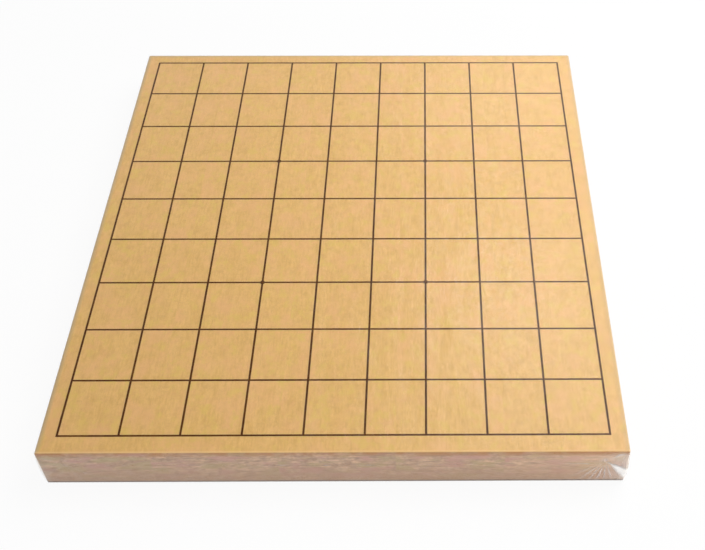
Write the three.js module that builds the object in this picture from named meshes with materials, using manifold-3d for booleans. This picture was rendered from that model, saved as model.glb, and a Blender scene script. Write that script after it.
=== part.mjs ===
// A tabletop shogi board: wooden staves glued edge to edge into a slab, with a ruled grid and four star
// points of raised ink on its playing face.
// Millimetres, +X to the player's right, +Y away from the player, +Z up. The origin is on the surface that
// the board lies on, under its middle.
import * as THREE from "three";
import { mergeVertices } from "three/addons/utils/BufferGeometryUtils.js";
import Module from "manifold-3d";

// Squares of the ruling, and the bare wood left round it
const squaresAcross = 9;
const squaresAlong = 9;
const squareWidth = 34.8;
const squareLength = 38;
const sideMargin = 10.05;
const nearMargin = 11.6;
const farMargin = 10;

// Wooden slab: 1 shaku 1 sun by 1 shaku 2 sun, and a little over 1 sun thick
const boardWidth = squaresAcross * squareWidth + 2 * sideMargin;
const boardLength = squaresAlong * squareLength + nearMargin + farMargin;
const boardThickness = 31;
const arrisRadius = 0.9; // rounding planed along every outer edge
const staveWidthShares = [0.19, 0.215, 0.2, 0.185, 0.21]; // of the width, from left to right

// Ruled lines
const lengthwiseLineWidth = 1.25;
const crosswiseLineWidth = 1.1;
const inkThickness = 0.12;

// Star points, one near each corner of the middle squares
const starSquaresIn = 3; // squares between a star point and the edge of the ruling
const starDiameter = 3.1;
const starRise = 0.08; // how far a star point stands above the ruled lines
const starShoulderShare = 0.72; // flat top of a star point, of its diameter

// Facets
const arcSteps = 3; // in each quarter turn
const starSides = 24;

const wasm = await Module();
wasm.setup();

// Angles of a quarter turn, from zero to a right angle.
function quarterTurn() {
  return Array.from({ length: arcSteps + 1 }, (_, step) => (step / arcSteps) * (Math.PI / 2));
}

// Closed skin over a run of rings with equal numbers of points. Each ring turns anticlockwise as seen from
// where the run goes. Each is joined to the next, and a fan round its middle closes either end. A face
// whose corners meet in a point is left out.
function skinOver(rings) {
  const count = rings[0].length;
  const middleOf = (ring) => ring.reduce((sum, p) => sum.add(p), new THREE.Vector3()).divideScalar(count);
  const points = [...rings.flat(), middleOf(rings[0]), middleOf(rings.at(-1))];
  const faces = [];
  const addFace = (...corners) => {
    const [a, b, c] = corners.map((corner) => points[corner]);
    if (!a.equals(b) && !b.equals(c) && !c.equals(a)) faces.push(...corners);
  };
  const lastRing = count * (rings.length - 1);
  for (let i = 0; i < count; i++) {
    const next = (i + 1) % count;
    for (let start = 0; start < lastRing; start += count) {
      addFace(start + i, start + next, start + count + next);
      addFace(start + i, start + count + next, start + count + i);
    }
    addFace(next, i, points.length - 2);
    addFace(lastRing + i, lastRing + next, points.length - 1);
  }
  const geometry = new THREE.BufferGeometry().setFromPoints(points).setIndex(faces);
  geometry.computeVertexNormals();
  return geometry;
}

// Solid that booleans work on, from any closed geometry.
function toSolid(geometry) {
  const bare = new THREE.BufferGeometry();
  bare.setAttribute("position", geometry.getAttribute("position"));
  if (geometry.index) bare.setIndex(geometry.index);
  const merged = mergeVertices(bare);
  return new wasm.Manifold(
    new wasm.Mesh({
      numProp: 3,
      vertProperties: merged.attributes.position.array,
      triVerts: new Uint32Array(merged.index.array),
    }),
  );
}

// Geometry of a solid that booleans have made.
function fromSolid(solid) {
  const mesh = solid.getMesh();
  const geometry = new THREE.BufferGeometry();
  geometry.setAttribute("position", new THREE.BufferAttribute(mesh.vertProperties, mesh.numProp));
  geometry.setIndex(new THREE.BufferAttribute(mesh.triVerts, 1));
  geometry.computeVertexNormals();
  return geometry;
}

// Section of a stave across its length, with the points in order from the lower left up. The slab's outer
// faces stand back by the inset and its outer corners are rounded. A glued face stays flat and square.
function staveSection(y, inset, stave) {
  const low = inset;
  const high = boardThickness - inset;
  const round = arrisRadius - inset;
  const section = [];
  const addCorner = (x, z, towardX, towardZ, isOuter, reverse) => {
    const turn = isOuter ? quarterTurn() : [0];
    const radius = isOuter ? round : 0;
    for (const angle of reverse ? turn.reverse() : turn) {
      const across = towardX * radius * (1 - Math.cos(angle));
      const up = towardZ * radius * (1 - Math.sin(angle));
      section.push(new THREE.Vector3(x + across, y, z + up));
    }
  };
  const left = stave.from + (stave.isLeftmost ? inset : 0);
  const right = stave.to - (stave.isRightmost ? inset : 0);
  addCorner(left, low, 1, 1, stave.isLeftmost, true);
  addCorner(left, high, 1, -1, stave.isLeftmost, false);
  addCorner(right, high, -1, -1, stave.isRightmost, true);
  addCorner(right, low, -1, 1, stave.isRightmost, false);
  return section;
}

// One stave, its end-grain faces rounded into its top and bottom like the edges of the finished slab.
function staveGeometry(stave) {
  const nearEnd = quarterTurn()
    .reverse()
    .map((angle) => {
      const inset = arrisRadius * (1 - Math.cos(angle));
      const setBack = arrisRadius * (1 - Math.sin(angle));
      return { y: -boardLength / 2 + setBack, inset };
    });
  const farEnd = nearEnd.map(({ y, inset }) => ({ y: -y, inset })).reverse();
  return skinOver([...nearEnd, ...farEnd].map(({ y, inset }) => staveSection(y, inset, stave)));
}

// Where each stave starts and stops across the slab.
function stavesAcross() {
  const whole = staveWidthShares.reduce((sum, share) => sum + share, 0);
  const jointAt = (count) => {
    const before = staveWidthShares.slice(0, count).reduce((sum, share) => sum + share, 0);
    return boardWidth * (before / whole - 1 / 2);
  };
  return staveWidthShares.map((_, i) => ({
    from: jointAt(i),
    to: jointAt(i + 1),
    isLeftmost: i === 0,
    isRightmost: i === staveWidthShares.length - 1,
  }));
}

// Middle of each ruled line, counted from the left or from the near end.
const lengthwiseLineX = (line) => sideMargin - boardWidth / 2 + line * squareWidth;
const crosswiseLineY = (line) => nearMargin - boardLength / 2 + line * squareLength;

// Both edges of each ruled line, in order, from the places of the lines' middles.
function lineEdges(lineMiddle, squares, lineWidth) {
  const lines = Array.from({ length: squares + 1 }, (_, line) => lineMiddle(line));
  return lines.flatMap((middle) => [middle - lineWidth / 2, middle + lineWidth / 2]);
}

// All ruled lines as one layer of ink, open in every square. The edges of the lines divide the ruling into
// fields: those with two odd numbers are the squares, and the others hold ink.
function ruledGridGeometry() {
  const xs = lineEdges(lengthwiseLineX, squaresAcross, lengthwiseLineWidth);
  const ys = lineEdges(crosswiseLineY, squaresAlong, crosswiseLineWidth);
  const levels = [boardThickness, boardThickness + inkThickness];
  const points = levels.flatMap((z) => ys.flatMap((y) => xs.map((x) => new THREE.Vector3(x, y, z))));
  const holdsInk = (i, j) =>
    i >= 0 && j >= 0 && i < xs.length - 1 && j < ys.length - 1 && (i % 2 === 0 || j % 2 === 0);
  const corner = ([i, j], layer) => (layer * ys.length + j) * xs.length + i;
  const faces = [];
  const addQuad = (a, b, c, d) => faces.push(a, b, c, a, c, d);
  for (let i = 0; i < xs.length - 1; i++)
    for (let j = 0; j < ys.length - 1; j++) {
      if (!holdsInk(i, j)) continue;
      const around = [[i, j], [i + 1, j], [i + 1, j + 1], [i, j + 1]];
      const beyond = [[i, j - 1], [i + 1, j], [i, j + 1], [i - 1, j]];
      addQuad(...around.map((place) => corner(place, 1)));
      addQuad(...around.toReversed().map((place) => corner(place, 0)));
      around.forEach((from, side) => {
        const to = around[(side + 1) % around.length];
        if (!holdsInk(...beyond[side])) addQuad(corner(from, 0), corner(to, 0), corner(to, 1), corner(from, 1));
      });
    }
  const geometry = new THREE.BufferGeometry().setFromPoints(points).setIndex(faces);
  geometry.computeVertexNormals();
  return geometry;
}

// A drop of ink with a sloped shoulder, cut underneath by the two lines that it straddles, so that it sits
// on the wood in the four angles of the crossing and on the lines in between.
function starPointGeometry() {
  const radius = starDiameter / 2;
  const height = inkThickness + starRise;
  const profile = [
    new THREE.Vector2(0, 0),
    new THREE.Vector2(radius, 0),
    new THREE.Vector2(radius, inkThickness),
    new THREE.Vector2(radius * starShoulderShare, height),
    new THREE.Vector2(0, height),
  ];
  const drop = new THREE.LatheGeometry(profile, starSides).rotateX(Math.PI / 2);
  const cutAcross = starDiameter + crosswiseLineWidth;
  const cutAlong = starDiameter + lengthwiseLineWidth;
  const cutDepth = inkThickness * 2; // half of it is below the wood's surface
  const lengthwise = new THREE.BoxGeometry(lengthwiseLineWidth, cutAlong, cutDepth);
  const crosswise = new THREE.BoxGeometry(cutAcross, crosswiseLineWidth, cutDepth);
  return fromSolid(toSolid(drop).subtract(toSolid(lengthwise)).subtract(toSolid(crosswise)));
}

// Finishes
const paleWood = () => new THREE.MeshStandardMaterial({ color: 0xe2b878, roughness: 0.45, metalness: 0 });
const darkInk = () => new THREE.MeshStandardMaterial({ color: 0x2a190c, roughness: 0.5, metalness: 0 });

function piece(name, geometry, material) {
  const mesh = new THREE.Mesh(geometry, material);
  mesh.name = name;
  return mesh;
}

// Assembly
const slab = new THREE.Group();
stavesAcross().forEach((stave, i) => slab.add(piece(`stave_${i + 1}`, staveGeometry(stave), paleWood())));

const ruling = new THREE.Group();
ruling.add(piece("ruled_grid", ruledGridGeometry(), darkInk()));
const starLines = {
  near: starSquaresIn,
  far: squaresAlong - starSquaresIn,
  left: starSquaresIn,
  right: squaresAcross - starSquaresIn,
};
for (const end of ["near", "far"])
  for (const side of ["left", "right"]) {
    const star = piece(`star_point_${end}_${side}`, starPointGeometry(), darkInk());
    star.position.set(lengthwiseLineX(starLines[side]), crosswiseLineY(starLines[end]), boardThickness);
    ruling.add(star);
  }

const shogiBoard = new THREE.Group();
shogiBoard.add(slab, ruling);

export default shogiBoard;
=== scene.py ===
"""Looks of a tabletop shogi board: glued staves of pale wood, a ruling of dark ink, and the clear film that
the board is sold in. Metres, with the board's own axes: x to the right, y away from the player, z up."""
import math
from collections import namedtuple

import bpy
import numpy as np
from mathutils import Matrix, Vector


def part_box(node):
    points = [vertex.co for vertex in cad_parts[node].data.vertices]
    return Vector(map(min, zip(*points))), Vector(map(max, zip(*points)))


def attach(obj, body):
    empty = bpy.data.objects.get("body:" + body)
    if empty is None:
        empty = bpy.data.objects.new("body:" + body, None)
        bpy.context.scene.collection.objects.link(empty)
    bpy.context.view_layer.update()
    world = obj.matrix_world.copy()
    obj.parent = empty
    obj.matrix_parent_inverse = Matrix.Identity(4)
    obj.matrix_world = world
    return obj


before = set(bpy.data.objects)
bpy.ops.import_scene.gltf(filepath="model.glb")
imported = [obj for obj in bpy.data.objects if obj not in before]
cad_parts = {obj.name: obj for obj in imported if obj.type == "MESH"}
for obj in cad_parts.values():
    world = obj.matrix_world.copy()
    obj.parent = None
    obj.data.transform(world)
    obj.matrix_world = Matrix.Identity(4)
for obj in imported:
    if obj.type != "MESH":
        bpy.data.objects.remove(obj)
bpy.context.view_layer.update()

MM = 0.001

# Board, as the frame holds it
STAVES = sorted(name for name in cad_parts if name.startswith("stave_"))
STAR_POINTS = sorted(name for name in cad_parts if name.startswith("star_point_"))
HALF_WIDTH, HALF_LENGTH, THICKNESS = (max(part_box(name)[1][axis] for name in STAVES) for axis in range(3))
STAR_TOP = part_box(STAR_POINTS[0])[1].z
ARRIS = 0.9 * MM  # rounding of the staves' outer edges

# Camera, fitted to the hundred line crossings of the photo
PHOTO_WIDTH, PHOTO_HEIGHT = 705, 550
AXIS_PIXEL_X, AXIS_PIXEL_Y = 431.7, 216.4
FOCAL_PIXELS = 1069.3
CAMERA_PLACE = Vector((0.0511, -0.5043, 0.5511))
CAMERA_TURN = math.radians(0.61)
CAMERA_FALL = math.radians(45.74)
CAMERA_ROLL = math.radians(0.32)

# Film round the board
FILM_GAP = 0.12 * MM  # off the walls
FILM_UNDER = 0.05 * MM  # below the underside
FILM_OVER = 0.05 * MM  # above the star points
FILM_FOOT = 0.35 * MM  # rounding along its lower edges
FILM_ROUND = 1.1 * MM  # rounding of its upright edges
PANEL_DRAWN_IN = np.array([0.93, 0.6, 0.25, 0.06, 0.015])  # rings of a panel, 1 being all the way in
QUARTER_TURN = np.linspace(0, math.pi / 2, 6)  # angles round a rounding
WALL_POINTS = 66  # up a wall, with both its ends
SIDE_POINTS = 50  # along the plain middle of a side
WRINKLE_STEP = 0.33 * MM  # between the points of a side near a corner

# Weld of the film, whose height sways and shakes and whose thickness beats between two lengths of wave
SEAM_HEIGHT = 0.6 * THICKNESS
SEAM_WIDTH = 0.45 * MM
SEAM_RISE = 0.16 * MM
SEAM_SWAY, SEAM_SWAY_LENGTH = 0.35 * MM, 31 * MM
SEAM_SHAKE, SEAM_SHAKE_LENGTH = 0.2 * MM, 7 * MM
SEAM_BEAT_LENGTHS = (3.1 * MM, 11 * MM)
SEAM_SIDES = 8

# Wrinkles at the film's corners
WRINKLE_REACH = 30 * MM
FOOT_CALM = 4 * MM  # height over which they set in from below
HEAD_CALM = 3 * MM  # and fade out towards the top
FOLD_RISE = 0.9 * MM
FOLD_START = 3 * MM  # distance from the apex over which a fold rises
FOLD_SPREAD = 14 * MM  # and over which it widens
FOLD_CLOUDING = 16 * MM  # and over which it clouds
KNOT_REACH = 2.4 * MM
KNOT_SHARE = 0.3  # of the strongest fold
VEIL_REACH = 9 * MM
EAR_RISE = 0.8 * MM
EAR_REACH = 2.6 * MM
EAR_CLOUDED = 0.14
SIDE_CLOUDING = 0.5  # on the left and right walls, to 1 on the others
PUCKER_RISE = 0.1 * MM
PUCKER_PITCH = 1.7 * MM
PUCKER_BAND = 8 * MM  # above and below the apex
PUCKER_CENTRE = 2 * MM  # beyond the corner
PUCKER_FADE = 15 * MM  # up to the wrinkles' whole reach

# Darts that the film draws into at the corners, anticlockwise from the near left one. The apex of a dart is
# given by its distance from the corner and its height. Its veil is how far the film round the corner is
# clouded. A fold runs out of the apex in a direction in degrees, with 0 towards the corner and 90 up, and has
# a half width in degrees and a share of the full rise.
Dart = namedtuple("Dart", "apex_along apex_height veil folds")
Fold = namedtuple("Fold", "direction half_width share")
DARTS = (
    Dart(14 * MM, 20 * MM, 0.02, (
        Fold(34, 5, 0.1), Fold(8, 6, 0.06), Fold(-36, 7, 0.12), Fold(-62, 4, 0.08), Fold(-88, 4, 0.07),
        Fold(-112, 5, 0.1), Fold(-138, 5, 0.08), Fold(150, 5, 0.05),
    )),
    Dart(12 * MM, 22.5 * MM, 0.24, (
        Fold(66, 3.5, 0.2), Fold(37, 12, 0.36), Fold(14, 5, 0.14), Fold(-18, 5, 0.2), Fold(-45, 10.5, 1),
        Fold(-74, 3, 0.38), Fold(-86, 2.6, 0.34), Fold(-98, 2.6, 0.38), Fold(-110, 2.6, 0.34),
        Fold(-123, 3, 0.28), Fold(-137, 3, 0.2),
    )),
    Dart(13 * MM, 19 * MM, 0.1, (
        Fold(52, 5, 0.5), Fold(24, 4, 0.3), Fold(-12, 5, 0.24), Fold(-44, 7, 0.7), Fold(-70, 3.5, 0.3),
        Fold(-92, 3, 0.24), Fold(-115, 3, 0.2), Fold(132, 4, 0.16),
    )),
    Dart(11 * MM, 21 * MM, 0.1, (
        Fold(58, 4, 0.34), Fold(30, 6, 0.5), Fold(-8, 4, 0.2), Fold(-39, 5, 0.5), Fold(-66, 4, 0.36),
        Fold(-84, 3, 0.2), Fold(-104, 3, 0.24), Fold(-126, 4, 0.16),
    )),
)


class Value:
    """A number that varies over a surface, with the sums that are written on it."""

    def __init__(self, recipe, socket):
        self.recipe = recipe
        self.socket = socket

    def maths(self, operation, *terms):
        return self.recipe.node("Math", {"operation": operation}, dict(enumerate(terms)))

    def __add__(self, other):
        return self.maths("ADD", self, other)

    def __sub__(self, other):
        return self.maths("SUBTRACT", self, other)

    def __rsub__(self, other):
        return self.maths("SUBTRACT", other, self)

    def __mul__(self, other):
        return self.maths("MULTIPLY", self, other)

    def __pow__(self, other):
        return self.maths("POWER", self, other)

    def __abs__(self):
        return self.maths("ABSOLUTE", self)

    __radd__ = __add__
    __rmul__ = __mul__

    def fraction(self):
        return self.maths("FRACT", self)

    def larger(self, other):
        return self.maths("MAXIMUM", self, other)

    def rise(self, start, end):
        """0 before start, 1 past end and a smooth step between, whichever of the two is the larger."""
        limits = {0: self, 1: start, 2: end, 3: 0.0, 4: 1.0}
        return self.recipe.node("MapRange", {"interpolation_type": "SMOOTHSTEP"}, limits)


class Recipe:
    """The node tree of one material or of the sky, and the kinds of node that its patterns need."""

    def __init__(self, owner):
        self.owner = owner
        owner.use_nodes = True
        self.tree = owner.node_tree
        self.tree.nodes.clear()

    def node(self, kind, settings=None, sockets=None, output=0):
        """One node of that kind. Its settings are made first, then the values or links of its sockets."""
        made = self.tree.nodes.new("ShaderNode" + kind)
        for name, setting in (settings or {}).items():
            setattr(made, name, setting)
        for key, given in (sockets or {}).items():
            if isinstance(given, Value):
                self.tree.links.new(given.socket, made.inputs[key])
            else:
                made.inputs[key].default_value = given
        return Value(self, made.outputs[output] if made.outputs else None)

    def parts(self, vector):
        """The three parts of a vector, along x, y and z."""
        split = self.node("SeparateXYZ", {}, {0: vector}).socket.node
        return [Value(self, part) for part in split.outputs]

    def place(self):
        """Where a point of the surface is on the board, in millimetres along each of the three axes."""
        return [part * (1 / MM) for part in self.parts(self.node("TexCoord", output="Object"))]

    def noise(self, x, y, z, detail=2.0, roughness=0.5):
        """Soft noise round a half, whose lumps are one unit of the three coordinates across."""
        at = self.node("CombineXYZ", {}, {0: x, 1: y, 2: z})
        shape = {"Vector": at, "Scale": 1.0, "Detail": detail, "Roughness": roughness}
        return self.node("TexNoise", {}, shape)

    def blend(self, share, one, other):
        """From one colour to the other as the share goes from 0 to 1."""
        colours = [given if isinstance(given, Value) else (*given, 1) for given in (one, other)]
        return self.node("Mix", {"data_type": "RGBA"}, {0: share, 6: colours[0], 7: colours[1]}, output=2)

    def washed(self, colour, washes):
        """A colour with the washes over it, one after the other, each a share and the colour it goes to."""
        for share, wash in washes:
            colour = self.blend(share, colour, wash)
        return colour

    def bump(self, height, distance, strength=1.0):
        return self.node("Bump", {}, {"Height": height, "Distance": distance, "Strength": strength})

    def mixed(self, share, one, other):
        """From one shader to the other as the share goes from 0 to 1."""
        return self.node("MixShader", {}, {0: share, 1: one, 2: other})

    def finish(self, shader, owner="Material"):
        """Makes that shader the surface of the material, or of the world, and gives the material or world."""
        self.node("Output" + owner, {}, {"Surface": shader})
        return self.owner


def material_recipe(name):
    return Recipe(bpy.data.materials.new(name))


def rays_that_look(recipe):
    """1 for a ray from the camera, from a mirror or through glass, and 0 for a ray that only brings light."""
    kinds = ("Camera", "Glossy", "Transmission")
    camera, mirror, glass = [recipe.node("LightPath", output=f"Is {kind} Ray") for kind in kinds]
    return camera.larger(mirror).larger(glass)


def paint(red, green, blue):
    """A colour as a screen shows it, from 0 to 255 in each part, as the plain light that shaders take."""
    shares = np.array([red, green, blue]) / 255
    light = np.where(shares <= 0.04045, shares / 12.92, ((shares + 0.055) / 1.055) ** 2.4)
    return tuple(float(part) for part in light)


WHITE = (1, 1, 1, 1)

# Wood. A stave's growth rings run round a pith outside the board, given in millimetres from the middle of the
# stave's underside, so that its faces show long grain and its ends show flat arcs. Its figure is how strongly
# the playing face is mottled there.
Growth = namedtuple("Growth", "pith_across pith_height ring_gap seed figure")
STAVE_GROWTH = {
    "stave_1": Growth(14, -88, 2.6, 3.47, 0.37),
    "stave_2": Growth(-19, 132, 3.1, 11.47, 0.37),
    "stave_3": Growth(9, -118, 2.8, 19.47, 0.38),
    "stave_4": Growth(-11, -96, 3.3, 27.47, 0.35),
    "stave_5": Growth(21, 121, 2.5, 35.47, 0.44),
}
Grain = namedtuple("Grain", "late fibre pore")
FACE_PALE = paint(240, 196, 122)
FACE_LATE = paint(224, 177, 101)
FACE_FIBRE = paint(228, 182, 105)
FACE_FLECK = paint(222, 174, 93)
FACE_MOTTLE = paint(201, 153, 84)
FACE_WARM = paint(241, 186, 130)
FACE_GREEN = paint(229, 195, 100)
FACE_PORE = paint(192, 145, 78)
# painted highlight along the near top edge
FACE_ARRIS_HIGHLIGHT = paint(244, 204, 150)
# painted shade along the edges of the playing face
FACE_RIM_SHADE = paint(202, 172, 124)
END_PALE = paint(223, 184, 144)
END_LATE = paint(170, 128, 90)
END_STREAK = paint(140, 102, 74)
# painted light on the ends towards the right
END_PAINTED_LIGHT = paint(236, 194, 158)
END_ROSE = paint(188, 134, 116)
END_OLIVE = paint(172, 147, 94)
END_PORE = paint(144, 106, 72)
# painted shade at the foot of the ends
END_FOOT_SHADE = paint(80, 68, 58)
EDGE_STAIN = paint(170, 106, 10)
GRAIN_RELIEF = 0.03 * MM

# Sizes for the patterns, which are all in millimetres
HALF_ACROSS, HALF_ALONG = HALF_WIDTH / MM, HALF_LENGTH / MM
BOARD_HIGH, ROUND = THICKNESS / MM, ARRIS / MM
WANDER = 16  # of the pith across the stave
LIFT = 9  # of the pith up and down
WANDER_LENGTH = 150
RIM_SHADE_FROM, RIM_SHADE_FULL = 3.6, 0.6  # painted shade, in from the edges of the playing face
STAIN_FROM, STAIN_FULL = 5.2, 1.2  # down from the top of the end grain
SHADE_FOOT_FROM, SHADE_FOOT_FULL = 2.6, 1.2  # painted shade, up from the bottom of the end grain


def late_wood(recipe, place, middle, growth):
    """The late wood of the growth rings, by the distance from a pith that wanders a little: 0 where a year's
    ring starts, growing to 1 shortly before its end. The rings' gaps are uneven."""
    x, y, z = place
    along = y * (1 / WANDER_LENGTH) + growth.seed
    wander = (recipe.noise(along, growth.seed, 0.3) - 0.5) * WANDER
    lift = (recipe.noise(along, growth.seed, 7.3) - 0.5) * LIFT
    across = x - (middle / MM + growth.pith_across) + wander
    above = z - growth.pith_height + lift
    radius = (across * across + above * above) ** 0.5
    uneven = recipe.noise(radius * 0.11, growth.seed, 1.0) * 2.4 + recipe.noise(x * 0.09, y * 0.01, z * 0.09)
    year = (radius * (1 / growth.ring_gap) + uneven).fraction()
    return year.rise(0.2, 0.86) * year.rise(1.0, 0.9)


def long_grain(recipe, place, growth, grain, on_top):
    """Colours of a face along the grain: fibres, streaks and flecks drawn out along the board, and mottling
    and a rim of painted shade on the playing face alone. The painted shade is strongest at the left, away
    from the light."""
    x, y, z = place
    streak = recipe.noise(x * 0.3, y * 0.005 + growth.seed, z * 0.3)
    fleck = recipe.noise(x * 0.9, y * 0.16, z * 0.9 + growth.seed, detail=3.0, roughness=0.65)
    mottle = recipe.noise(x * 0.17, y * 0.19 + growth.seed, z * 0.17, detail=5.0, roughness=0.95)
    cloud = recipe.noise(x * 0.06, y * 0.05, z * 0.06 + growth.seed, detail=4.0, roughness=0.65)
    tint = recipe.noise(x * 0.13 + growth.seed, y * 0.11, z * 0.14, detail=4.0, roughness=0.65)
    at_sides = abs(x).rise(HALF_ACROSS - RIM_SHADE_FROM, HALF_ACROSS - RIM_SHADE_FULL)
    rim_shade = at_sides.larger(y.rise(HALF_ALONG - RIM_SHADE_FROM, HALF_ALONG - RIM_SHADE_FULL))
    return recipe.washed(FACE_PALE, (
        (grain.late * 0.16, FACE_LATE),
        (grain.fibre.rise(0.35, 0.8) * 0.45, FACE_FIBRE),
        (streak.rise(0.45, 0.75) * 0.25, FACE_FIBRE),
        (fleck.rise(0.42, 0.7) * 0.6, FACE_FLECK),
        (mottle.rise(0.38, 0.66) * growth.figure * on_top, FACE_MOTTLE),
        (cloud.rise(0.42, 0.68) * 0.5, FACE_WARM),
        (tint.rise(0.5, 0.68) * (on_top * 0.4 + 0.2), FACE_GREEN),
        (grain.pore * 0.3, FACE_PORE),
        # painted shade along the edges of the playing face, strongest at the left, away from the light
        (rim_shade * on_top * (0.75 - x * (0.25 / HALF_ACROSS)), FACE_RIM_SHADE),
    ))


def end_grain(recipe, place, growth, grain):
    """Colours of an end: layers and specks of darker wood and rose and olive in places, with painted light
    that makes it paler to the right, painted shade that makes it darker downwards and a dark foot, and a
    stain under the top edge."""
    x, _, z = place
    layer = recipe.noise(x * 0.06, growth.seed, z * 0.6, detail=5.0, roughness=0.85)
    speck = recipe.noise(x * 0.24, growth.seed + 2, z * 0.34, detail=4.0, roughness=0.95)
    patch = recipe.noise(x * 0.11, growth.seed + 4, z * 0.2, detail=3.0)
    hue = recipe.noise(x * 0.06, growth.seed + 9, z * 0.16)
    under_edge = z.rise(BOARD_HIGH - STAIN_FROM, BOARD_HIGH - STAIN_FULL)
    return recipe.washed(END_PALE, (
        (grain.late * 0.3, END_LATE),
        (layer.rise(0.4, 0.66) * 0.75, END_STREAK),
        (speck.rise(0.4, 0.66) * 0.85, END_STREAK),
        (patch.rise(0.5, 0.72) * 0.4, END_LATE),
        (hue.rise(0.52, 0.66) * 0.75, END_ROSE),
        (hue.rise(0.48, 0.34) * 0.75, END_OLIVE),
        (grain.fibre.rise(0.5, 0.78) * 0.35, END_PORE),
        # painted light: the end grain grows paler towards the right
        (x.rise(HALF_ACROSS * 0.45, HALF_ACROSS * 1.1) * 0.36, END_PAINTED_LIGHT),
        # painted shade: the end grain darkens downwards towards the floor
        (z.rise(BOARD_HIGH * 0.85, 0) * 0.8, END_LATE),
        # painted shade along the foot of the end grain
        (z.rise(SHADE_FOOT_FROM, SHADE_FOOT_FULL) * 0.85, END_FOOT_SHADE),
        (under_edge * (patch.rise(0.4, 0.6) * 0.5 + 0.35), EDGE_STAIN),
    ))


def stave_wood(name, middle, growth):
    """Wood of one stave, with its middle at that x. It is worked out through the solid, from noise whose
    factors on x, y and z are lumps in a millimetre. How far along the board a point is tells the ends, which
    take end grain, from the rest, and the near edge, which takes a painted highlight."""
    recipe = material_recipe(name + "_wood")
    place = recipe.place()
    x, y, z = place
    late = late_wood(recipe, place, middle, growth)
    fibre = recipe.noise(x * 2.1, y * 0.018 + growth.seed, z * 2.12, detail=3.0, roughness=0.6)
    pore = recipe.noise(x * 3.4, y * 0.12, z * 3.4 + growth.seed, detail=1.0).rise(0.64, 0.74)
    grain = Grain(late, fibre, pore)
    on_top = z.rise(BOARD_HIGH - ROUND, BOARD_HIGH - ROUND * 0.3)
    # painted highlight along the near top edge of the playing face
    near_edge_highlight = y.rise(ROUND * 2.2 - HALF_ALONG, ROUND * 0.8 - HALF_ALONG) * 0.6
    at_end = abs(y).rise(HALF_ALONG - ROUND * 0.7, HALF_ALONG - ROUND * 0.2)
    face = recipe.blend(near_edge_highlight, long_grain(recipe, place, growth, grain, on_top), FACE_ARRIS_HIGHLIGHT)
    colour = recipe.blend(at_end, face, end_grain(recipe, place, growth, grain))
    roughness = fibre * 0.16 + at_end * 0.12 + 0.4
    relief = recipe.bump(fibre * 0.6 + late * 0.3 - pore * 0.8, GRAIN_RELIEF, 0.7)
    finish = {"Base Color": colour, "Roughness": roughness, "Normal": relief}
    return recipe.finish(recipe.node("BsdfPrincipled", {}, finish))


# Ink
INK_DARK = paint(84, 44, 0)
INK_THIN = paint(116, 72, 2)
INK_RELIEF = 0.02 * MM
INK_SHINE = 0.02


def ruling_ink():
    """Dark ink drawn in raised lines, thinner and browner in places, with a slightly grainy, matt skin."""
    recipe = material_recipe("ruling_ink")
    x, y, z = recipe.place()
    flow = recipe.noise(x * 0.09, y * 0.09, z * 0.09, detail=3.0)
    grain = recipe.noise(x * 2.2, y * 2.2, z * 2.2, detail=3.0, roughness=0.6)
    thin = flow.rise(0.4, 0.75) * 0.5 + grain.rise(0.5, 0.8) * 0.35
    finish = {
        "Base Color": recipe.blend(thin, INK_DARK, INK_THIN),
        "Roughness": grain * 0.25 + 0.45,
        "Specular IOR Level": INK_SHINE,
        "Normal": recipe.bump(grain, INK_RELIEF, 0.6),
    }
    return recipe.finish(recipe.node("BsdfPrincipled", {}, finish))


# Film. Its mirror share is that of a thin clear sheet, which is the same from both of its sides. Where it
# lies slack on the playing face is in millimetres from the middle: where that starts and where it is full.
FILM_MIRROR = 0.08
FILM_RELIEF = 0.6 * MM
SLACK_LEFT = (35, 70)
SLACK_RIGHT = (150, 105)
SLACK_NEAR = (-115, -70)
SLACK_FAR = (95, 45)
MILK = (*paint(250, 247, 244), 1)


def clear_film():
    """Clear shrink film: see-through, with a mirror that grows towards grazing views and is drawn out in
    long ripples, and milky where the folds at the corners double it. Its gloss is uneven, most of all where
    it lies slack, on the right half of the playing face."""
    recipe = material_recipe("clear_film")
    x, y, z = recipe.place()
    ripple = recipe.noise(x * 0.075, y * 0.03, z * 0.1, detail=4.0)
    crumple = recipe.noise(x * 0.5, y * 0.5, z * 0.9, detail=3.0)
    peel = recipe.noise(x * 0.19, y * 0.15, z * 0.23, detail=5.0, roughness=0.9) - 0.5
    slack = x.rise(*SLACK_LEFT) * x.rise(*SLACK_RIGHT) * y.rise(*SLACK_NEAR) * y.rise(*SLACK_FAR)
    pleat = recipe.node("Attribute", {"attribute_name": "pleat"}, output="Fac")
    waves = recipe.bump(ripple + crumple * (pleat * 0.3 + 0.012), FILM_RELIEF)
    facing = recipe.node("LayerWeight", {}, {"Blend": 0.5, "Normal": waves}, output="Facing")
    mirror_share = (facing ** 5 * (1 - FILM_MIRROR) + FILM_MIRROR) * (peel * (slack * 2.2 + 1.2) + 1)
    clear = recipe.node("BsdfTransparent")
    mirror = recipe.node("BsdfAnisotropic", {}, {"Color": WHITE, "Roughness": 0.18, "Normal": waves})
    milky = recipe.node("BsdfPrincipled", {}, {"Base Color": MILK, "Roughness": 0.3, "Normal": waves})
    film = recipe.mixed(mirror_share, clear, mirror)
    return recipe.finish(recipe.mixed(pleat * 0.96, film, milky))


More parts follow.
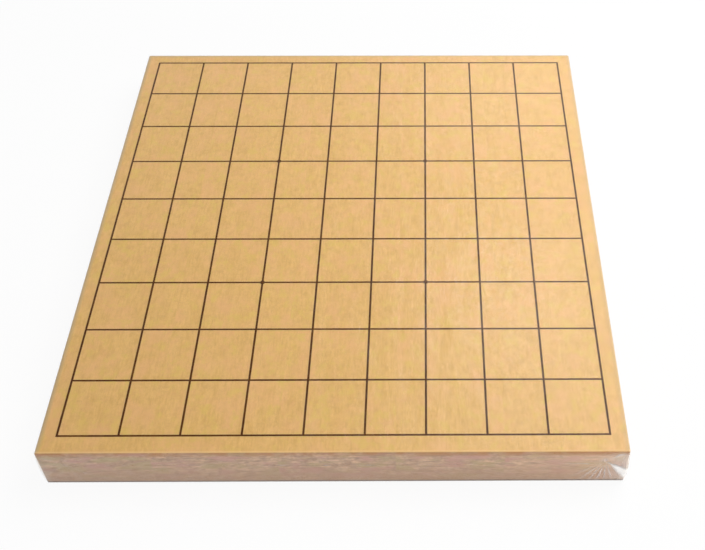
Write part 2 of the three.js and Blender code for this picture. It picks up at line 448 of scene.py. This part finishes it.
def welded_film():
    """The weld that closes the film: the same sheet, melted into a narrow cord that is milky in places."""
    recipe = material_recipe("welded_film")
    x, y, z = recipe.place()
    beads = recipe.noise(x * 0.06, y * 0.06, z * 0.2, detail=3.0)
    share = beads.rise(0.55, 0.72) * 0.6 + 0.03
    clear = recipe.node("BsdfTransparent")
    weld = recipe.node("BsdfPrincipled", {}, {"Base Color": MILK, "Roughness": beads * 0.2 + 0.12})
    return recipe.finish(recipe.mixed(share, clear, weld))


# Shapes of the film, in numpy
def smooth(share):
    """0 to 1 as the share goes from 0 to 1, level at both ends: 3 s^2 - 2 s^3."""
    share = np.clip(share, 0, 1)
    return share * share * (3 - 2 * share)


def bell(distance, reach):
    """1 at no distance, falling off to both sides: the exponential of minus (distance / reach) squared."""
    return np.exp(-((distance / reach) ** 2))


def side_places(length):
    """Distances along a side from its first corner, close together where the corners' wrinkles reach and
    wide apart between them."""
    near = np.arange(0, WRINKLE_REACH, WRINKLE_STEP)
    middle = np.linspace(WRINKLE_REACH, length - WRINKLE_REACH, SIDE_POINTS)
    return np.concatenate([near, middle, length - near[::-1]])


SIDES = NEAR, RIGHT, FAR, LEFT = range(4)
Outline = namedtuple("Outline", "place outward from_corner corner side")


def film_outline():
    """The film's walls from above, anticlockwise from the near left corner: four straight sides with a
    quarter circle after each. Gives each point's place, its outward direction, how far along the wall the
    nearest corner is, the side that it is on, and that corner by the number of the side that starts there."""
    half = np.array([HALF_WIDTH, HALF_LENGTH]) + FILM_GAP
    straight = half - FILM_ROUND
    stretches = []
    for side in SIDES:
        next_corner = (side + 1) % len(SIDES)
        facing = math.pi / 2 * (side - 1)
        outward = np.round([math.cos(facing), math.sin(facing)])
        forward = np.array([-outward[1], outward[0]])
        length = 2 * abs(straight @ forward)
        go = side_places(length)
        stretches.append(Outline(
            place=outward * half + forward * (go[:, None] - length / 2),
            outward=np.tile(outward, (len(go), 1)),
            from_corner=np.minimum(go, length - go),
            corner=np.where(go < length / 2, side, next_corner),
            side=np.full(len(go), side),
        ))
        angle = facing + QUARTER_TURN[1:-1]
        turning = np.stack([np.cos(angle), np.sin(angle)], 1)
        stretches.append(Outline(
            place=(outward + forward) * straight + turning * FILM_ROUND,
            outward=turning,
            from_corner=np.zeros(len(angle)),
            corner=np.full(len(angle), next_corner),
            side=np.full(len(angle), side),
        ))
    return Outline(*[np.concatenate(column) for column in zip(*stretches)])


def fold_ridge(fold, reach, angle):
    """One fold's ridge, from 0 to its share, at that reach and angle from the apex: a bell of the angle off
    its direction, wider further out, times a bell of the reach, longer for a stronger fold, with a smooth
    start at the apex."""
    off = (angle - fold.direction + 180) % 360 - 180
    spread = fold.half_width * (0.55 + 0.55 * smooth(reach / FOLD_SPREAD))
    length = WRINKLE_REACH * (0.4 + 0.6 * fold.share)
    return bell(off, spread) * smooth(reach / FOLD_START) * fold.share * bell(reach, length)


def puckers(dart, from_corner, up, angle):
    """Fine rings round the corner, from 0 to 1: a sine of the distance from a point just beyond it, at the
    apex's height. They fade towards the corner, away from it, and above and below the apex."""
    ring = np.hypot(from_corner + PUCKER_CENTRE, up * 0.8)
    wave = 0.5 + 0.5 * np.sin(2 * math.pi * ring / PUCKER_PITCH + 1.2 * np.sin(np.radians(angle) * 3))
    fading = smooth(from_corner / dart.apex_along) * smooth((WRINKLE_REACH - from_corner) / PUCKER_FADE)
    return wave * fading * bell(up, PUCKER_BAND)


def wrinkles(dart, from_corner, height):
    """How far the film stands off and how far it is doubled near a corner. The folds run out of the dart's
    apex, where a knot is doubled too, among the puckers. The ear is a bell of the distance from the corner,
    highest half way up. The veil is a wider one, which only clouds the film."""
    towards = dart.apex_along - from_corner
    up = height - dart.apex_height
    reach = np.hypot(towards, up)
    angle = np.degrees(np.arctan2(up, towards))
    calm = smooth(height / FOOT_CALM) * smooth((THICKNESS - height) / HEAD_CALM)
    knot = KNOT_SHARE * max(fold.share for fold in dart.folds) * bell(reach, KNOT_REACH)
    rise = 0
    doubled = np.maximum(knot, dart.veil * bell(from_corner, VEIL_REACH))
    for fold in dart.folds:
        ridge = fold_ridge(fold, reach, angle)
        rise = np.maximum(rise, ridge)
        doubled = np.maximum(doubled, ridge * (0.5 + 1.3 * smooth(reach / FOLD_CLOUDING)))
    pucker = puckers(dart, from_corner, up, angle)
    ear = bell(from_corner, EAR_REACH) * np.sin(math.pi * np.clip(height / THICKNESS, 0, 1))
    stand = (rise * FOLD_RISE + pucker * PUCKER_RISE) * calm + ear * EAR_RISE
    return stand, doubled * calm + ear * EAR_CLOUDED


def wall_film(outline, height):
    """How far the film stands off its plain wall at those heights, and how far it is doubled, for each height
    and each point of the outline. On the left and right walls the doubled folds are clearer."""
    rise = np.zeros((len(height), len(outline.side)))
    doubled = np.zeros_like(rise)
    for corner, dart in enumerate(DARTS):
        here = outline.corner == corner
        rise[:, here], doubled[:, here] = wrinkles(dart, outline.from_corner[None, here], height[:, None])
    return rise, doubled * np.where(np.isin(outline.side, (LEFT, RIGHT)), SIDE_CLOUDING, 1)


def meshed(name, points, faces, material, smoothed=True):
    """An object with that surface, at the origin."""
    mesh = bpy.data.meshes.new(name)
    mesh.from_pydata(np.asarray(points).tolist(), [], faces)
    mesh.polygons.foreach_set("use_smooth", [smoothed] * len(mesh.polygons))
    mesh.materials.append(material)
    made = bpy.data.objects.new(name, mesh)
    bpy.context.scene.collection.objects.link(made)
    return made


def closed_rings(name, rings, first, last, material):
    """A closed skin over rings of points, each anticlockwise as seen from where the rings go, with a fan of
    faces round the first and the last point."""
    count, around = rings.shape[:2]
    points = np.concatenate([rings.reshape(-1, 3), [first, last]])
    here = np.arange(around)
    beside = (here + 1) % around
    row = np.arange(count - 1)[:, None] * around
    beyond = row + around
    quads = np.stack([row + here, row + beside, beyond + beside, beyond + here], -1).reshape(-1, 4)
    last_row = (count - 1) * around
    first_point = count * around
    last_point = first_point + 1
    below = np.stack([np.full(around, first_point), beside, here], -1)
    above = np.stack([last_row + here, last_row + beside, np.full(around, last_point)], -1)
    return meshed(name, points, [*quads.tolist(), *below.tolist(), *above.tolist()], material)


def film_skin(outline):
    """The film: one closed skin, a ring of the outline at each height. It runs from the middle of the
    underside out to the edge, round a quarter circle, up the wall, round again and in to the middle of the
    top. Within the panels a ring is the outline drawn in evenly."""
    top = STAR_TOP + FILM_OVER
    radius = ARRIS + FILM_GAP
    panel = np.ones(len(PANEL_DRAWN_IN))
    wall = np.linspace(FILM_FOOT, top - radius, WALL_POINTS)[1:-1]
    plain = np.zeros(2 * len(QUARTER_TURN) + len(wall))
    shrink = np.concatenate([PANEL_DRAWN_IN, plain, PANEL_DRAWN_IN[::-1]])
    inset = np.concatenate([
        FILM_FOOT * panel,
        FILM_FOOT * (1 - np.sin(QUARTER_TURN)),
        np.zeros(len(wall)),
        radius * (1 - np.cos(QUARTER_TURN)),
        radius * panel,
    ])
    height = np.concatenate([
        -FILM_UNDER * panel,
        FILM_FOOT - FILM_UNDER - FILM_FOOT * np.cos(QUARTER_TURN),
        wall,
        top - radius + radius * np.sin(QUARTER_TURN),
        top * panel,
    ])
    rise, doubled = wall_film(outline, height)
    rise[shrink > 0] = 0
    doubled[shrink > 0] = 0
    flat = outline.place + outline.outward * (rise - inset[:, None])[..., None]
    flat *= 1 - shrink[:, None, None]
    rings = np.concatenate([flat, np.broadcast_to(height[:, None, None], (*flat.shape[:2], 1))], -1)
    film = closed_rings("shrink_film", rings, (0, 0, -FILM_UNDER), (0, 0, top), clear_film())
    attribute = film.data.attributes.new("pleat", "FLOAT", "POINT")
    attribute.data.foreach_set("value", np.concatenate([doubled.ravel(), [0, 0]]).astype(np.float32))
    return film


def film_seam(outline):
    """The weld along the left, near and right sides: a flat cord with an elliptic section, carried along
    the film's wall. It rises and falls a little by two sines, and two more make its thickness come and go."""
    from_far_left = np.roll(np.arange(len(outline.side)), np.count_nonzero(outline.side == LEFT))
    order = from_far_left[outline.side[from_far_left] != FAR]
    walls = Outline(*[column[order] for column in outline])
    go = np.concatenate([[0], np.cumsum(np.hypot(*np.diff(walls.place, axis=0).T))])
    sway = SEAM_SWAY * np.sin(go / SEAM_SWAY_LENGTH)
    height = SEAM_HEIGHT + sway + SEAM_SHAKE * np.sin(go / SEAM_SHAKE_LENGTH)
    stand = np.zeros(len(order))
    for corner, dart in enumerate(DARTS):
        here = walls.corner == corner
        stand[here] = wrinkles(dart, walls.from_corner[here], height[here])[0]
    one_beat, other_beat = [np.sin(go / length) for length in SEAM_BEAT_LENGTHS]
    full = 0.65 + 0.35 * one_beat * other_beat
    turn = np.linspace(0, -2 * math.pi, SEAM_SIDES + 1)[:-1]  # outwards first, and then down
    out = stand[:, None] + SEAM_RISE * full[:, None] * np.cos(turn)
    up = height[:, None] + SEAM_WIDTH / 2 * full[:, None] * np.sin(turn)
    flat = walls.place[:, None] + walls.outward[:, None] * out[..., None]
    rings = np.concatenate([flat, up[..., None]], -1)
    middles = rings.mean(1)
    return closed_rings("film_seam", rings, middles[0], middles[-1], welded_film())


# Pieces
def finish_node(name, material):
    """Gives a piece of the frame that material alone."""
    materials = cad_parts[name].data.materials
    materials.clear()
    materials.append(material)


for stave in STAVES:
    low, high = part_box(stave)
    finish_node(stave, stave_wood(stave, (low.x + high.x) / 2, STAVE_GROWTH[stave]))
ink = ruling_ink()
for inked in ["ruled_grid", *STAR_POINTS]:
    finish_node(inked, ink)

film_walls = film_outline()
for piece in (film_skin(film_walls), film_seam(film_walls)):
    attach(piece, "root")

# Floor
FLOOR_HALF = 12.0
FLOOR_DROP = 0.1 * MM
FLOOR_PALE = (*paint(240, 240, 240), 1)
FLOOR_WHITENED = 0.93


def pale_floor():
    """Plain white floor. What looks at it straight or in a mirror sees it as nearly pure white, and takes the
    rest, with the board's faint shadow, from how it is lit."""
    recipe = material_recipe("pale_floor")
    lit = recipe.node("BsdfDiffuse", {}, {"Color": FLOOR_PALE})
    white = recipe.node("Emission", {}, {"Color": WHITE, "Strength": 1.0})
    return recipe.finish(recipe.mixed(rays_that_look(recipe) * FLOOR_WHITENED, lit, white))


floor_corners = [(-1, -1), (1, -1), (1, 1), (-1, 1)]
floor_points = [(x * FLOOR_HALF, y * FLOOR_HALF, -FLOOR_DROP) for x, y in floor_corners]
floor = meshed("floor", floor_points, [(0, 1, 2, 3)], pale_floor(), smoothed=False)

# Light. A lamp is a rectangle that faces its aim and is as bright as given all over. Those that light the
# board aren't mirrored in it, and those that the film mirrors don't light it.
Lamp = namedtuple("Lamp", "name place aim width height brightness")
LIGHTING_LAMPS = (
    Lamp("soft_box", (0.49, 0.25, 0.9), (0, 0, 0.03), 0.8, 0.8, 5.04),
    Lamp("front_fill", (0.7, -1.3, 0.3), (0, -0.15, 0.02), 0.6, 0.4, 10.2),
)
MIRRORED_LAMPS = (
    Lamp("front_glint", (0.75, -0.95, 0.5), (0.1, -0.1, 0), 0.3, 0.3, 1.6),
    Lamp("far_window", (0.225, 1.67, 1.33), (0.1, 0.12, 0.03), 0.37, 0.13, 0.6),
    Lamp("near_window", (0.264, 1.195, 1.568), (0.105, -0.075, 0.03), 0.37, 0.35, 0.7),
)


def put_up(lamp, lights, mirrored):
    """Puts a lamp into the scene, where the camera doesn't see it."""
    light = bpy.data.lights.new(lamp.name, "AREA")
    light.shape = "RECTANGLE"
    light.size, light.size_y = lamp.width, lamp.height
    light.energy = lamp.brightness * math.pi * lamp.width * lamp.height
    made = bpy.data.objects.new(lamp.name, light)
    made.location = lamp.place
    made.rotation_euler = (Vector(lamp.aim) - Vector(lamp.place)).to_track_quat("-Z", "Y").to_euler()
    made.visible_camera = False
    made.visible_diffuse = lights
    made.visible_glossy = mirrored
    bpy.context.scene.collection.objects.link(made)


for lamp in LIGHTING_LAMPS:
    put_up(lamp, lights=True, mirrored=False)
for lamp in MIRRORED_LAMPS:
    put_up(lamp, lights=False, mirrored=True)

# Sky. A limit is a part of the direction that it is seen in: where a thing starts and where it is full.
SKY_LIGHT = 0.3
SKY_SEEN_HIGH = 0.18
SKY_SEEN_RIGHT = 0.85
WHITE_UP = (0.85, 0.25)
WALL_ACROSS = (-0.16, 0.19)
WALL_AWAY = (0.2, 0.5)
WALL_UP = (0.3, 0.5)


def studio_sky():
    """An even, dim sky. Seen straight or in a mirror it is white low down, behind the board, and falls off
    overhead, and its right half is a pale lit wall."""
    recipe = Recipe(bpy.data.worlds.new("studio_sky"))
    across, away, up = recipe.parts(recipe.node("TexCoord", output="Generated"))
    low = up.rise(*WHITE_UP) * (1 - SKY_SEEN_HIGH) + SKY_SEEN_HIGH
    wall = across.rise(*WALL_ACROSS) * away.rise(*WALL_AWAY) * up.rise(*WALL_UP) * SKY_SEEN_RIGHT
    strength = rays_that_look(recipe) * (low + wall - SKY_LIGHT) + SKY_LIGHT
    sky = recipe.node("Background", {}, {"Color": WHITE, "Strength": strength})
    return recipe.finish(sky, "World")


bpy.context.scene.world = studio_sky()

# Camera
lens = bpy.data.cameras.new("camera")
lens.lens = FOCAL_PIXELS / PHOTO_WIDTH * lens.sensor_width
lens.shift_x = (PHOTO_WIDTH / 2 - AXIS_PIXEL_X) / PHOTO_WIDTH
lens.shift_y = (AXIS_PIXEL_Y - PHOTO_HEIGHT / 2) / PHOTO_WIDTH
lens.clip_start, lens.clip_end = 0.01, 100
camera = bpy.data.objects.new("camera", lens)
looking = Vector((
    math.sin(CAMERA_TURN) * math.cos(CAMERA_FALL),
    math.cos(CAMERA_TURN) * math.cos(CAMERA_FALL),
    -math.sin(CAMERA_FALL),
))
level = Vector((math.cos(CAMERA_TURN), -math.sin(CAMERA_TURN), 0))
upright = level.cross(looking)
camera_right = level * math.cos(CAMERA_ROLL) + upright * math.sin(CAMERA_ROLL)
camera_up = camera_right.cross(looking)
axes = Matrix((camera_right, camera_up, -looking)).transposed()
camera.matrix_world = Matrix.Translation(CAMERA_PLACE) @ axes.to_4x4()
bpy.context.scene.collection.objects.link(camera)
bpy.context.scene.camera = camera
bpy.context.scene.view_settings.view_transform = "Standard"
